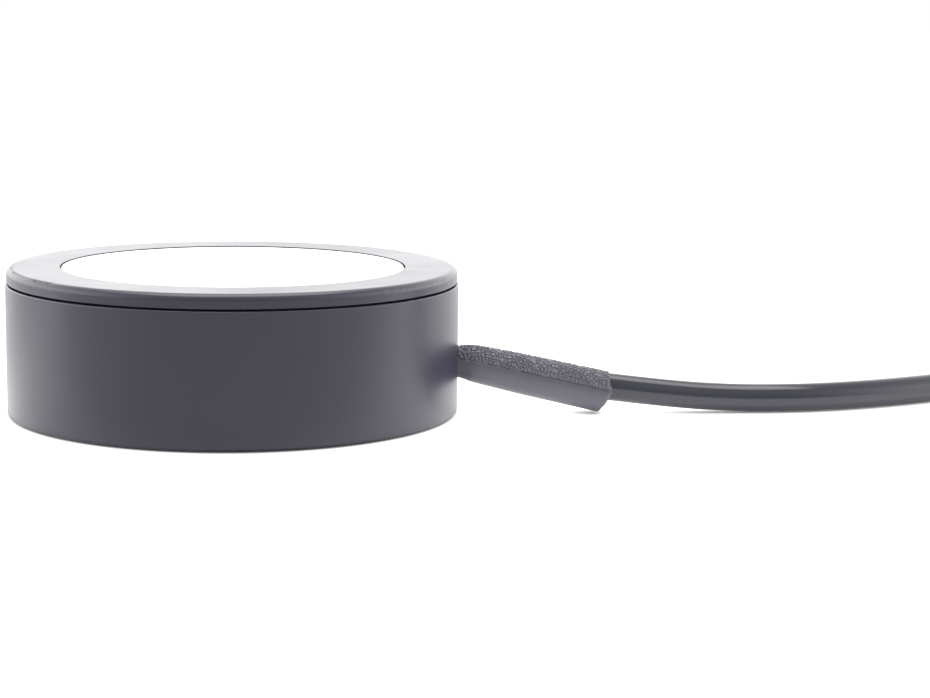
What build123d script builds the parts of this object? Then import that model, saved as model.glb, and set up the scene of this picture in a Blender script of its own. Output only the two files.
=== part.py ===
from build123d import *
import os
from math import asin, cos, degrees, pi, radians, sin, sqrt, tan

# Disc-shaped streaming media player with a captive video cord. Millimetres.
# Origin: centre of the base, on the surface it stands on. +Z up, +X the cord's exit, +Y the rear.

# ---- Outer casing ----
body_radius = 32.0
body_height = 20.8
lid_height = 2.23
seam_gap = 0.16
cover_inset = 0.17
wall = 1.6
floor_thickness = 2.0
foot_drop = 0.2
base_round = 0.5
rim_round = 0.2
cover_round = 0.95
cover_under_round = 0.3
skirt_depth = 2.5
skirt_wall = 1.2
fit_gap = 0.15
weld = 0.2

# ---- Foot pad ----
pad_margin = 1.8
pad_thickness = 0.8
pad_recess = 0.6
pad_round = 0.2

# ---- Cover screws and their posts ----
boss_inset = 2.4
boss_radius = 2.6
post_radius = 2.0
boss_top = 11.0
screw_radius = 1.0
screw_hole = 1.15
screw_head_radius = 1.75
screw_head_height = 1.3
counterbore_radius = 1.9
counterbore_depth = 1.5
cover_screw_length = 14.5
drive_radius = 0.75
drive_share = 0.55
thread_gap = 0.02
post_hole_end = 0.5

# ---- Press button ----
disc_radius = 24.25
disc_thickness = 1.35
disc_round = 0.2
disc_recess = 0.1
button_travel = 0.5
stop_gap = 0.05
carrier_plate = 1.5
flange_width = 1.0
peg_radius = 1.2
peg_margin = 2.0
peg_length = 3.4
guide_gap = 0.15
actuator_radius = 1.4

# ---- Button frame and spring plate ----
frame_thickness = 1.2
frame_drop = 2.6
frame_margin = 3.1
frame_clearance = 0.5
lug_inset = 2.8
lug_radius = 1.8
frame_screw_radius = 0.7
frame_screw_length = 3.2
frame_head_radius = 1.4
frame_head_height = 0.8
spring_metal = 0.2
spring_margin = 0.65
spring_width = 4.0
finger_length = 7.0
finger_width = 1.8
finger_count = 6
finger_turn = 15
finger_gap = 0.05

# ---- Main board ----
board_margin = 5.6
board_thickness = 1.0
board_bottom = 7.0
board_cord_gap = 7.5
board_tab_margin = 3.6
board_tab_setback = 1.5
reset_tab_margin = 2.6
reset_tab_reach = 2.4
standoff_x = 14.5
standoff_y = 13.5
standoff_radius = 2.2
board_screw_radius = 0.9
board_screw_length = 3.6
board_head_radius = 1.7
board_head_height = 1.0

# ---- Chips, shield and heat spreader ----
chip_height = 1.1
processor_size = 9.0
chip_pitch_x = 5.2
memory_pitch_y = 2.9
module_x = -15.6
module_y = 1.5
module_height = 1.8
coil_size = 4.0
coil_height = 1.9
power_row_y = 13.2
shield_length = 22.0
shield_width = 12.6
shield_y = -12.8
shield_height = 2.0
shield_metal = 0.2
shield_lid_lift = 0.4
pad_setback = 0.3
pad_gap_height = 0.6
spreader_thickness = 1.5
spreader_margin = 1.4
spreader_edge_y = -6.0

# ---- Antennas ----
antenna_film = 0.2
antenna_wall_gap = 0.1
antenna_lift = 0.5
antenna_skirt_gap = 0.6
lead_radius = 0.4
lead_bend = 0.7
lead_rise = 1.6

# ---- Switches ----
switch_size = 6.2
switch_height = 3.5
plunger_radius = 1.6
plunger_stand = 0.8
plunger_gap = 0.15
plunger_well = 0.4
plunger_root = 0.1
reset_x = 11.0
reset_setback = 10.4
reset_stem_height = 1.6
reset_size_x = 4.2
reset_size_y = 3.5
reset_switch_height = 3.0
reset_plunger_radius = 0.7
reset_plunger_stand = 0.85
reset_button_radius = 1.2
reset_flange_radius = 1.8
reset_travel = 0.4
reset_recess = 0.3
reset_flange_gap = 0.25
reset_flange = 0.8

# ---- Power inlet (USB-C size) ----
inlet_width = 8.94
inlet_height = 3.26
inlet_metal = 0.3
inlet_depth = 7.3
inlet_recess = 1.5
inlet_window_gap = 0.2
tongue_width = 6.69
tongue_thickness = 0.7
tongue_recess = 0.7

# ---- Video cord, strain relief and clamp ----
cord_diameter = 4.0
exit_height = 7.24
relief_root_skin = 0.2
relief_shoulder_skin = 0.65
relief_end_skin = 0.975
relief_level = 1.1
relief_length = 20.4
relief_slope = 11.9
relief_swell = 0.15
relief_waist_share = 0.42
relief_turn_in = 1.2
undercut_angle = 28.0
undercut_depth = 1.25
grip_depth = 0.7
grip_lift = 0.6
grip_start_gap = 0.6
gland_rim = 0.9
gland_thickness = 1.5
gland_gap = 0.3
clamp_setback = 4.9
clamp_length = 3.6
clamp_screw_gap = 3.2
clamp_ear = 2.2
clamp_height = 3.0
clamp_squeeze = 0.1
clamp_screw_radius = 0.9
clamp_screw_length = 6.0
jacket_stub = 0.9
wire_radius = 0.3
wire_pitch = 1.3
wire_count = 5
header_length = 4.6
header_width = 9.0
header_height = 2.6
header_wall = 0.8
header_floor = 0.5
connector_gap = 0.15
wire_bundle_pitch = 0.7
wire_stagger = 0.25
wire_lead_in = 1.0
wire_bend = 0.6
connector_stand = 2.0

# ---- Video plug (standard A size shell) ----
plug_width = 19.6
plug_height = 9.8
plug_length = 29.0
plug_collar = 7.0
plug_collar_radius = 3.6
plug_round = 0.6
plug_side_round = 2.4
plug_tail_skin = 0.8
plug_cord_hold = 1.5
plug_stand = 0.1
shell_width = 13.9
shell_height = 4.45
shell_length = 11.6
shell_metal = 0.35
shell_shoulder = 2.0
insert_slot = 1.9
insert_recess = 0.6
insert_floor = 2.5
slot_side = 1.7
shell_corner = 0.3

os.makedirs("parts", exist_ok=True)

# ---- Heights and radii that follow from the sizes above ----
case_bottom = foot_drop
recess_top = case_bottom + pad_recess
floor_top = case_bottom + floor_thickness
cavity_radius = body_radius - wall
seam_height = body_height - lid_height
pad_radius = body_radius - pad_margin
boss_circle = cavity_radius - boss_inset
lug_circle = cavity_radius - lug_inset
frame_outer = boss_circle - post_radius - frame_clearance
spring_outer = disc_radius - spring_margin
spring_inner = spring_outer - spring_width
peg_circle = spring_inner - peg_margin
frame_inner = peg_circle - frame_margin
board_radius = cavity_radius - board_margin
spreader_radius = board_radius - spreader_margin
cover_bottom = seam_height + seam_gap
cover_thickness = body_height - cover_bottom
cover_radius = body_radius - cover_inset
skirt_radius = cavity_radius - fit_gap
skirt_bottom = cover_bottom - skirt_depth
hole_radius = disc_radius + fit_gap
disc_bottom = body_height - disc_recess - disc_thickness
carrier_bottom = disc_bottom - carrier_plate
flange_top = cover_bottom - stop_gap
board_top = board_bottom + board_thickness
frame_top = cover_bottom - frame_drop
frame_bottom = frame_top - frame_thickness
head_seat = recess_top + counterbore_depth
inlet_height_z = board_top + inlet_height / 2
shield_top = board_top + shield_height
spreader_bottom = shield_top + pad_gap_height
spreader_top = spreader_bottom + spreader_thickness
switch_top = board_top + switch_height
plunger_top = switch_top + plunger_stand
cord_radius = cord_diameter / 2
relief_root = cord_diameter + 2 * relief_root_skin
relief_shoulder = cord_diameter + 2 * relief_shoulder_skin
relief_end = cord_diameter + 2 * relief_end_skin
relief_bend_x = body_radius + relief_level
gland_radius = relief_root / 2 + gland_rim
gland_outer_x = cavity_radius - gland_gap
gland_inner_x = gland_outer_x - gland_thickness
clamp_x = cavity_radius - clamp_setback
clamp_screw_y = cord_radius + clamp_screw_gap
clamp_half_width = clamp_screw_y + clamp_ear
jacket_end_x = clamp_x - clamp_length / 2 - jacket_stub
board_flat_x = clamp_x - board_cord_gap
connector_back_x = board_flat_x + connector_stand
reset_y = body_radius - reset_setback
reset_height = board_top + reset_stem_height
inlet_mouth_y = body_radius - inlet_recess
inlet_back_y = inlet_mouth_y - inlet_depth
corner_angles = [45 + 90 * i for i in range(4)]
side_angles = [90 * i for i in range(4)]


def export(piece, label):
    """Label a finished piece and write it as its own STEP file."""
    piece.part.label = label
    export_step(piece.part, f"parts/{label}.step")


def polar(radius, angle, height=0.0):
    """Point at a radius and an angle in degrees about the vertical axis."""
    return (radius * cos(radians(angle)), radius * sin(radians(angle)), height)


def ring_points(radius, angles):
    """Flat points on a circle, one for each angle."""
    return [polar(radius, angle)[:2] for angle in angles]


def add_screws(label, groups):
    """Write pan-head screws as one node; each group is (points, seat height, head radius, head height,
    shank radius, shank length, up), the heads bear on the seat and up is the shank's direction."""
    with BuildPart() as screws:
        for points, seat, head_radius, head_height, shank_radius, length, up in groups:
            with BuildSketch(Plane.XY.offset(seat)):
                with Locations(*points):
                    Circle(head_radius)
            extrude(amount=-up * head_height)
            with BuildSketch(Plane.XY.offset(seat)):
                with Locations(*points):
                    Circle(shank_radius)
            extrude(amount=up * length)
            with BuildSketch(Plane.XY.offset(seat - up * head_height)):
                with Locations(*points):
                    RegularPolygon(drive_radius, 6)
            extrude(amount=up * head_height * drive_share, mode=Mode.SUBTRACT)
    export(screws, label)


standoff_points = [(sx * standoff_x, sy * standoff_y) for sx in (-1, 1) for sy in (-1, 1)]
boss_points = ring_points(boss_circle, corner_angles)
lug_points = ring_points(lug_circle, side_angles)
saddle_points = [(clamp_x, -clamp_screw_y), (clamp_x, clamp_screw_y)]

# ---- Lower case: a moulded cup with screw bosses, board standoffs and a cord saddle ----
with BuildPart() as lower_case:
    with BuildSketch(Plane.XY.offset(case_bottom)):
        Circle(body_radius)
    extrude(amount=seam_height - case_bottom)
    fillet(lower_case.edges().group_by(Axis.Z)[0], base_round)
    with BuildSketch(Plane.XY.offset(floor_top)):
        Circle(cavity_radius)
    extrude(amount=seam_height - floor_top, mode=Mode.SUBTRACT)
    fillet(lower_case.edges().group_by(Axis.Z)[-1].sort_by(SortBy.LENGTH)[-1], rim_round)
    with BuildSketch(Plane.XY.offset(case_bottom)):
        Circle(pad_radius + fit_gap)
    extrude(amount=pad_recess, mode=Mode.SUBTRACT)
    with BuildSketch(Plane.XY.offset(floor_top - weld)):
        with Locations(*boss_points):
            Circle(boss_radius)
    extrude(amount=boss_top - floor_top + weld)
    with BuildSketch(Plane.XY.offset(floor_top - weld)):
        with Locations(*standoff_points):
            Circle(standoff_radius)
    extrude(amount=board_bottom - floor_top + weld)
    with BuildSketch(Plane.XY.offset(floor_top - weld)):
        with Locations((clamp_x, 0)):
            Rectangle(clamp_length, 2 * clamp_half_width)
    extrude(amount=exit_height - floor_top + weld)
    with BuildSketch(Plane.XY.offset(recess_top)):
        with Locations(*boss_points):
            Circle(screw_hole)
    extrude(amount=boss_top - recess_top, mode=Mode.SUBTRACT)
    with BuildSketch(Plane.XY.offset(recess_top)):
        with Locations(*boss_points):
            Circle(counterbore_radius)
    extrude(amount=counterbore_depth, mode=Mode.SUBTRACT)
    with BuildSketch(Plane.XY.offset(board_bottom)):
        with Locations(*standoff_points):
            Circle(board_screw_radius + thread_gap)
    extrude(amount=floor_top - board_bottom + post_hole_end, mode=Mode.SUBTRACT)
    with BuildSketch(Plane.XY.offset(exit_height)):
        with Locations(*saddle_points):
            Circle(clamp_screw_radius + thread_gap)
    extrude(amount=floor_top - exit_height + 2 * post_hole_end, mode=Mode.SUBTRACT)
    with BuildSketch(Plane.YZ.offset(clamp_x - clamp_length)):
        with Locations((0, exit_height)):
            Circle(cord_radius)
    extrude(amount=2 * clamp_length, mode=Mode.SUBTRACT)
    with BuildSketch(Plane.YZ.offset(cavity_radius - 1)):
        with Locations((0, exit_height)):
            Circle(relief_root / 2 + thread_gap)
    extrude(amount=wall + 2, mode=Mode.SUBTRACT)
    with BuildSketch(Plane.XZ.offset(-(body_radius + 1))):
        with Locations((0, inlet_height_z)):
            SlotOverall(inlet_width + 2 * inlet_window_gap, inlet_height + 2 * inlet_window_gap)
        with Locations((reset_x, reset_height)):
            Circle(reset_button_radius + guide_gap)
    extrude(amount=body_radius + 1 - inlet_back_y, mode=Mode.SUBTRACT)
export(lower_case, "lower_case")

# ---- Foot pad: a rubber disc bonded in the recess under the case ----
with BuildPart() as foot_pad:
    with BuildSketch():
        Circle(pad_radius)
    extrude(amount=pad_thickness)
    fillet(foot_pad.edges().group_by(Axis.Z)[0], pad_round)
export(foot_pad, "foot_pad")

# ---- Top cover: the ring lid with its skirt, screw posts and frame lugs ----
with BuildPart() as top_cover:
    with BuildSketch(Plane.XY.offset(cover_bottom)):
        Circle(cover_radius)
    extrude(amount=cover_thickness)
    fillet(top_cover.edges().group_by(Axis.Z)[-1], cover_round)
    fillet(top_cover.edges().group_by(Axis.Z)[0], cover_under_round)
    with BuildSketch(Plane.XY.offset(skirt_bottom)):
        Circle(skirt_radius)
        Circle(skirt_radius - skirt_wall, mode=Mode.SUBTRACT)
    extrude(amount=skirt_depth + weld)
    with BuildSketch(Plane.XY.offset(boss_top)):
        with Locations(*boss_points):
            Circle(post_radius)
    extrude(amount=cover_bottom - boss_top + weld)
    with BuildSketch(Plane.XY.offset(frame_top)):
        with Locations(*lug_points):
            Circle(lug_radius)
    extrude(amount=cover_bottom - frame_top + weld)
    with BuildSketch(Plane.XY.offset(cover_bottom - 1)):
        Circle(hole_radius)
    extrude(amount=cover_thickness + 2, mode=Mode.SUBTRACT)
    with BuildSketch(Plane.XY.offset(boss_top)):
        with Locations(*boss_points):
            Circle(screw_radius + thread_gap)
    extrude(amount=cover_bottom - boss_top - post_hole_end, mode=Mode.SUBTRACT)
    with BuildSketch(Plane.XY.offset(frame_top)):
        with Locations(*lug_points):
            Circle(frame_screw_radius + thread_gap)
    extrude(amount=cover_bottom - frame_top - post_hole_end, mode=Mode.SUBTRACT)
export(top_cover, "top_cover")

add_screws(
    "cover_screws",
    [(boss_points, head_seat, screw_head_radius, screw_head_height, screw_radius, cover_screw_length, 1)],
)

# ---- Button disc: the glossy round face that is pressed ----
with BuildPart() as button_disc:
    with BuildSketch(Plane.XY.offset(disc_bottom)):
        Circle(disc_radius)
    extrude(amount=disc_thickness)
    fillet(button_disc.edges().group_by(Axis.Z)[-1], disc_round)
export(button_disc, "button_disc")

# ---- Button carrier: plate, retaining flange, guide pegs and the actuator pin ----
with BuildPart() as button_carrier:
    with BuildSketch(Plane.XY.offset(carrier_bottom)):
        Circle(disc_radius - fit_gap)
    extrude(amount=carrier_plate)
    with BuildSketch(Plane.XY.offset(carrier_bottom)):
        Circle(hole_radius + flange_width)
    extrude(amount=flange_top - carrier_bottom)
    with BuildSketch(Plane.XY.offset(carrier_bottom)):
        with Locations(*ring_points(peg_circle, side_angles)):
            Circle(peg_radius)
    extrude(amount=-peg_length)
    with BuildSketch(Plane.XY.offset(plunger_top + stop_gap)):
        Circle(actuator_radius)
    extrude(amount=carrier_bottom - plunger_top - stop_gap)
export(button_carrier, "button_carrier")

# ---- Button frame: the ring under the carrier that guides its pegs ----
with BuildPart() as button_frame:
    with BuildSketch(Plane.XY.offset(frame_bottom)):
        Circle(frame_outer)
        Circle(frame_inner, mode=Mode.SUBTRACT)
        with PolarLocations((frame_inner + lug_circle) / 2, len(side_angles)):
            Rectangle(lug_circle - frame_inner, 2 * lug_radius)
        with Locations(*lug_points):
            Circle(lug_radius)
        with Locations(*ring_points(peg_circle, side_angles)):
            Circle(peg_radius + guide_gap, mode=Mode.SUBTRACT)
        with Locations(*lug_points):
            Circle(frame_screw_radius + guide_gap, mode=Mode.SUBTRACT)
    extrude(amount=frame_thickness)
export(button_frame, "button_frame")

add_screws(
    "frame_screws",
    [
        (
            lug_points, frame_bottom, frame_head_radius, frame_head_height,
            frame_screw_radius, frame_screw_length, 1,
        )
    ],
)

# ---- Spring plate: a flat ring of sheet steel with fingers that lift the carrier ----
finger_rise = carrier_bottom - frame_top - spring_metal - finger_gap
finger_angle = degrees(asin(finger_rise / finger_length))
finger_run = finger_length * cos(radians(finger_angle)) / 2
finger_middle = frame_top + (spring_metal + finger_rise) / 2
with BuildPart() as spring_plate:
    with BuildSketch(Plane.XY.offset(frame_top)):
        Circle(spring_outer)
        Circle(spring_inner, mode=Mode.SUBTRACT)
    extrude(amount=spring_metal)
    with PolarLocations((spring_inner + spring_outer) / 2, finger_count, start_angle=finger_turn):
        with Locations(Location((0, finger_run, finger_middle), (finger_angle, 0, 0))):
            Box(finger_width, finger_length, spring_metal)
export(spring_plate, "spring_plate")

# ---- Main board: a disc with a flat for the cord and tabs for the rear parts ----
with BuildPart() as main_board:
    with BuildSketch(Plane.XY.offset(board_bottom)):
        Circle(board_radius)
        with Locations((board_flat_x + board_radius / 2, 0)):
            Rectangle(board_radius, 2 * board_radius, mode=Mode.SUBTRACT)
        with Locations((0, (inlet_mouth_y - board_tab_setback) / 2)):
            Rectangle(inlet_width + board_tab_margin, inlet_mouth_y - board_tab_setback)
        with Locations((reset_x, (reset_y + reset_tab_reach) / 2)):
            Rectangle(reset_size_x + reset_tab_margin, reset_y + reset_tab_reach)
        with Locations(*standoff_points):
            Circle(board_screw_radius + guide_gap, mode=Mode.SUBTRACT)
    extrude(amount=board_thickness)
export(main_board, "main_board")

rear_points = [(x, y) for x, y in standoff_points if y > 0]
front_points = [(x, y) for x, y in standoff_points if y < 0]
board_head = (board_head_radius, board_head_height, board_screw_radius)
long_screw_length = board_screw_length + spreader_top - board_top
add_screws(
    "board_screws",
    [
        (rear_points, board_top, *board_head, board_screw_length, -1),
        (front_points, spreader_top, *board_head, long_screw_length, -1),
    ],
)


def board_blocks(label, blocks, bottom=board_top):
    """Write rectangular components; each block is (x, y, size_x, size_y, height)."""
    with BuildPart() as group:
        for x, y, size_x, size_y, height in blocks:
            with Locations((x, y, bottom)):
                Box(size_x, size_y, height, align=(Align.CENTER, Align.CENTER, Align.MIN))
    export(group, label)


board_blocks("processor_chip", [(-chip_pitch_x, shield_y, processor_size, processor_size, chip_height)])
memory_rows = (shield_y - memory_pitch_y, shield_y + memory_pitch_y)
board_blocks("memory_chips", [(chip_pitch_x, y, 7.6, 5.0, chip_height) for y in memory_rows])
board_blocks("storage_chip", [(8.6, 6.2, 7.4, 8.4, 0.9)])
board_blocks("wireless_module", [(module_x, module_y, 9.0, 11.0, module_height)])
board_blocks("power_chip", [(-2.6, power_row_y, 3.2, 3.2, 0.8)])
coil = (coil_size, coil_size, coil_height)
board_blocks("power_coils", [(2.6, power_row_y, *coil), (-8.6, 16.6, *coil)])
board_blocks(
    "capacitors",
    [(-5.4 + 1.9 * i, 18.2, 1.0, 1.8, 0.9) for i in range(6)]
    + [(-8.6 + 1.8 * i, 8.2, 0.9, 1.6, 0.8) for i in range(4)],
)

# ---- Shield: a fence soldered to the board and a snap-on lid ----
with BuildPart() as shield_fence:
    with BuildSketch(Plane.XY.offset(board_top)):
        with Locations((0, shield_y)):
            Rectangle(shield_length - 2 * shield_metal, shield_width - 2 * shield_metal)
            Rectangle(
                shield_length - 4 * shield_metal, shield_width - 4 * shield_metal, mode=Mode.SUBTRACT
            )
    extrude(amount=shield_height - shield_metal)
export(shield_fence, "shield_fence")

with BuildPart() as shield_lid:
    with BuildSketch(Plane.XY.offset(board_top + shield_lid_lift)):
        with Locations((0, shield_y)):
            RectangleRounded(shield_length, shield_width, 0.15)
    extrude(amount=shield_height - shield_lid_lift)
    with BuildSketch(Plane.XY.offset(board_top + shield_lid_lift)):
        with Locations((0, shield_y)):
            Rectangle(shield_length - 2 * shield_metal, shield_width - 2 * shield_metal)
    extrude(amount=shield_height - shield_lid_lift - shield_metal, mode=Mode.SUBTRACT)
export(shield_lid, "shield_lid")

inner_pad_height = shield_height - shield_metal - chip_height
pad_size = processor_size - 2 * pad_setback
processor_pad = (-chip_pitch_x, shield_y, pad_size, pad_size, inner_pad_height)
board_blocks("processor_thermal_pad", [processor_pad], board_top + chip_height)
lid_pad = (0, shield_y, shield_length - 4.0, shield_width - 2.6, pad_gap_height)
board_blocks("lid_thermal_pad", [lid_pad], shield_top)

# ---- Heat spreader: a D-shaped aluminium plate on two legs ----
with BuildPart() as heat_spreader:
    with BuildSketch(Plane.XY.offset(spreader_bottom)):
        Circle(spreader_radius)
        with Locations((0, spreader_edge_y + spreader_radius)):
            Rectangle(2 * spreader_radius, 2 * spreader_radius, mode=Mode.SUBTRACT)
    extrude(amount=spreader_thickness)
    with BuildSketch(Plane.XY.offset(board_top)):
        with Locations(*front_points):
            Circle(standoff_radius)
    extrude(amount=spreader_bottom - board_top)
    with BuildSketch(Plane.XY.offset(board_top)):
        with Locations(*front_points):
            Circle(board_screw_radius + guide_gap)
    extrude(amount=spreader_top - board_top, mode=Mode.SUBTRACT)
export(heat_spreader, "heat_spreader")

# ---- Antennas: two flexible strips inside the wall, and their leads ----
antenna_bottom = boss_top + antenna_lift
antenna_height = skirt_bottom - antenna_bottom - antenna_skirt_gap
antenna_middle = antenna_bottom + antenna_height / 2
antenna_radius = cavity_radius - antenna_wall_gap - antenna_film / 2
with BuildPart() as antennas:
    for start_angle, arc in ((143, 34), (187, 30)):
        with BuildSketch(Plane.XZ.rotated((0, 0, start_angle))):
            with Locations((antenna_radius, antenna_middle)):
                Rectangle(antenna_film, antenna_height)
        revolve(axis=Axis.Z, revolution_arc=arc)
export(antennas, "antennas")

module_top = board_top + module_height
with BuildPart() as antenna_leads:
    for y, angle in ((module_y + 3, 160), (module_y - 3, 194)):
        x = module_x - 1.9
        target = polar(antenna_radius - antenna_film, angle, antenna_middle)
        mid = ((x + target[0]) / 2, (y + target[1]) / 2, antenna_middle)
        route = [(x, y, module_top), (x, y, module_top + lead_rise), mid, target]
        with BuildLine() as lead:
            FilletPolyline(*route, radius=lead_bend)
        with BuildSketch(Plane(origin=route[0], z_dir=(0, 0, 1))):
            Circle(lead_radius)
        sweep(path=lead.wires()[0])
export(antenna_leads, "antenna_leads")

# ---- Button switch at the board's centre ----
with BuildPart() as top_switch_body:
    with BuildSketch(Plane.XY.offset(board_top)):
        RectangleRounded(switch_size, switch_size, 0.4)
    extrude(amount=switch_height)
    with BuildSketch(Plane.XY.offset(switch_top)):
        Circle(plunger_radius + plunger_gap)
    extrude(amount=-(2 * button_travel + plunger_well), mode=Mode.SUBTRACT)
export(top_switch_body, "top_switch_body")

with BuildPart() as top_switch_plunger:
    with BuildSketch(Plane.XY.offset(plunger_top)):
        Circle(plunger_radius)
    extrude(amount=-(plunger_stand + button_travel + plunger_root))
export(top_switch_plunger, "top_switch_plunger")

# ---- Reset switch and its recessed button at the rear ----
reset_plane = Plane.XZ.offset(-(reset_y + reset_size_y / 2))
with BuildPart() as reset_switch_body:
    with Locations((reset_x, reset_y, board_top)):
        Box(
            reset_size_x, reset_size_y, reset_switch_height,
            align=(Align.CENTER, Align.CENTER, Align.MIN),
        )
    with BuildSketch(reset_plane):
        with Locations((reset_x, reset_height)):
            Circle(reset_plunger_radius + plunger_gap)
    extrude(amount=2 * reset_travel + plunger_well, mode=Mode.SUBTRACT)
export(reset_switch_body, "reset_switch_body")

plunger_front = reset_y + reset_size_y / 2 + reset_plunger_stand
with BuildPart() as reset_switch_plunger:
    with BuildSketch(Plane.XZ.offset(-plunger_front)):
        with Locations((reset_x, reset_height)):
            Circle(reset_plunger_radius)
    extrude(amount=reset_plunger_stand + reset_travel + plunger_root)
export(reset_switch_plunger, "reset_switch_plunger")

reset_face = sqrt(body_radius**2 - reset_x**2) - reset_recess
flange_reach = reset_x + reset_flange_radius
flange_front = sqrt(cavity_radius**2 - flange_reach**2) - reset_flange_gap
with BuildPart() as reset_button:
    with BuildSketch(Plane.XZ.offset(-reset_face)):
        with Locations((reset_x, reset_height)):
            Circle(reset_button_radius)
    extrude(amount=reset_face - plunger_front - stop_gap)
    with BuildSketch(Plane.XZ.offset(-flange_front)):
        with Locations((reset_x, reset_height)):
            Circle(reset_flange_radius)
    extrude(amount=reset_flange)
export(reset_button, "reset_button")

# ---- Power inlet: a drawn steel shell with a contact tongue ----
inlet_inner_width = inlet_width - 2 * inlet_metal
inlet_inner_height = inlet_height - 2 * inlet_metal
with BuildPart() as inlet_shell:
    with BuildSketch(Plane.XZ.offset(-inlet_mouth_y)):
        with Locations((0, inlet_height_z)):
            SlotOverall(inlet_width, inlet_height)
    extrude(amount=inlet_mouth_y - inlet_back_y)
    with BuildSketch(Plane.XZ.offset(-inlet_mouth_y)):
        with Locations((0, inlet_height_z)):
            SlotOverall(inlet_inner_width, inlet_inner_height)
    extrude(amount=inlet_mouth_y - inlet_back_y - 2 * inlet_metal, mode=Mode.SUBTRACT)
export(inlet_shell, "inlet_shell")

with BuildPart() as inlet_tongue:
    with BuildSketch(Plane.XZ.offset(-(inlet_mouth_y - tongue_recess))):
        with Locations((0, inlet_height_z)):
            RectangleRounded(tongue_width, tongue_thickness, 0.2)
    extrude(amount=inlet_mouth_y - tongue_recess - inlet_back_y - 2 * inlet_metal)
export(inlet_tongue, "inlet_tongue")

# ---- Cord connector under the board, its header and the inner wires ----
header_middle = board_bottom - header_height / 2
with BuildPart() as cord_header:
    with Locations((board_flat_x - header_length / 2, 0, header_middle)):
        Box(header_length, header_width, header_height)
    with Locations((board_flat_x - header_length / 2 + header_wall, 0, header_middle)):
        Box(
            header_length, header_width - 2 * header_wall, header_height - 2 * header_floor,
            mode=Mode.SUBTRACT,
        )
export(cord_header, "cord_header")

connector_front_x = board_flat_x - header_length + 1.5 * header_wall
connector_width = header_width - 2 * (header_wall + connector_gap)
connector_height = header_height - 2 * (header_floor + connector_gap)
with BuildPart() as cord_connector:
    with Locations(((connector_front_x + connector_back_x) / 2, 0, header_middle)):
        Box(connector_back_x - connector_front_x, connector_width, connector_height)
export(cord_connector, "cord_connector")

with BuildPart() as inner_wires:
    for index in range(wire_count):
        side = index - (wire_count - 1) / 2
        jacket_y = side * wire_bundle_pitch
        jacket_z = exit_height + wire_stagger * (2 * (index % 2) - 1)
        start = (jacket_end_x, jacket_y, jacket_z)
        bend = (jacket_end_x - wire_lead_in, jacket_y, jacket_z)
        turn = (connector_back_x + wire_lead_in, side * wire_pitch, header_middle)
        finish = (connector_back_x, side * wire_pitch, header_middle)
        with BuildLine() as wire:
            FilletPolyline(start, bend, turn, finish, radius=wire_bend)
        with BuildSketch(Plane(origin=start, z_dir=(-1, 0, 0))):
            Circle(wire_radius)
        sweep(path=wire.wires()[0])
export(inner_wires, "inner_wires")

# ---- Cord jacket inside the case, and the clamp that takes its pull ----
with BuildPart() as inner_jacket:
    with BuildSketch(Plane.YZ.offset(jacket_end_x)):
        with Locations((0, exit_height)):
            Circle(cord_radius)
    extrude(amount=gland_inner_x - jacket_end_x)
export(inner_jacket, "inner_jacket")

clamp_bottom = exit_height + clamp_squeeze
clamp_top = clamp_bottom + clamp_height
with BuildPart() as cord_clamp:
    with BuildSketch(Plane.XY.offset(clamp_bottom)):
        with Locations((clamp_x, 0)):
            RectangleRounded(clamp_length, 2 * clamp_half_width, 0.5)
        with Locations(*saddle_points):
            Circle(clamp_screw_radius + guide_gap, mode=Mode.SUBTRACT)
    extrude(amount=clamp_height)
    with BuildSketch(Plane.YZ.offset(clamp_x - clamp_length)):
        with Locations((0, exit_height)):
            Circle(cord_radius)
    extrude(amount=2 * clamp_length, mode=Mode.SUBTRACT)
export(cord_clamp, "cord_clamp")

clamp_head = (board_head_radius, board_head_height, clamp_screw_radius)
add_screws("clamp_screws", [(saddle_points, clamp_top, *clamp_head, clamp_screw_length, -1)])

# ---- Strain relief: a tapered boot that leaves the wall level and then droops to the surface ----
slope = radians(relief_slope)
relief_axis = (cos(slope), 0, -sin(slope))


def relief_plane(distance):
    """Cross-section plane of the drooping stretch, at a distance past its bend."""
    origin = (
        relief_bend_x + distance * relief_axis[0], 0, exit_height + distance * relief_axis[2]
    )
    return Plane(origin=origin, x_dir=(0, 1, 0), z_dir=relief_axis)


def level_plane(x):
    """Cross-section plane of the level stretch, at a distance from the body's centre."""
    return Plane(origin=(x, 0, exit_height), x_dir=(0, 1, 0), z_dir=(1, 0, 0))


relief_waist = (relief_shoulder + relief_end) / 2 + relief_swell
boot_sections = [
    (level_plane(gland_inner_x + 0.5), relief_root),
    (level_plane(body_radius), relief_root),
    (relief_plane(relief_turn_in), relief_shoulder),
    (relief_plane(relief_waist_share * relief_length), relief_waist),
    (relief_plane(relief_length), relief_end),
]


def boot(shrink):
    """Loft of the boot's outer shape, made smaller all round by a distance."""
    with BuildPart() as shape:
        for plane, diameter in boot_sections:
            with BuildSketch(plane):
                Circle(diameter / 2 - shrink)
        loft(ruled=True)
    return shape.part


boot_outside = boot(0)
boot_inside = boot(grip_depth)
undercut_turn = radians(undercut_angle)
undercut_plane = Plane(
    origin=relief_plane(relief_length).from_local_coords((0, -undercut_depth, 0)),
    x_dir=(0, 1, 0),
    z_dir=(cos(undercut_turn), 0, -sin(undercut_turn)),
)
grip_plane = Plane(
    origin=(relief_bend_x, 0, exit_height + grip_lift),
    x_dir=(0, 1, 0),
    z_dir=(sin(slope), 0, cos(slope)),
)

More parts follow.
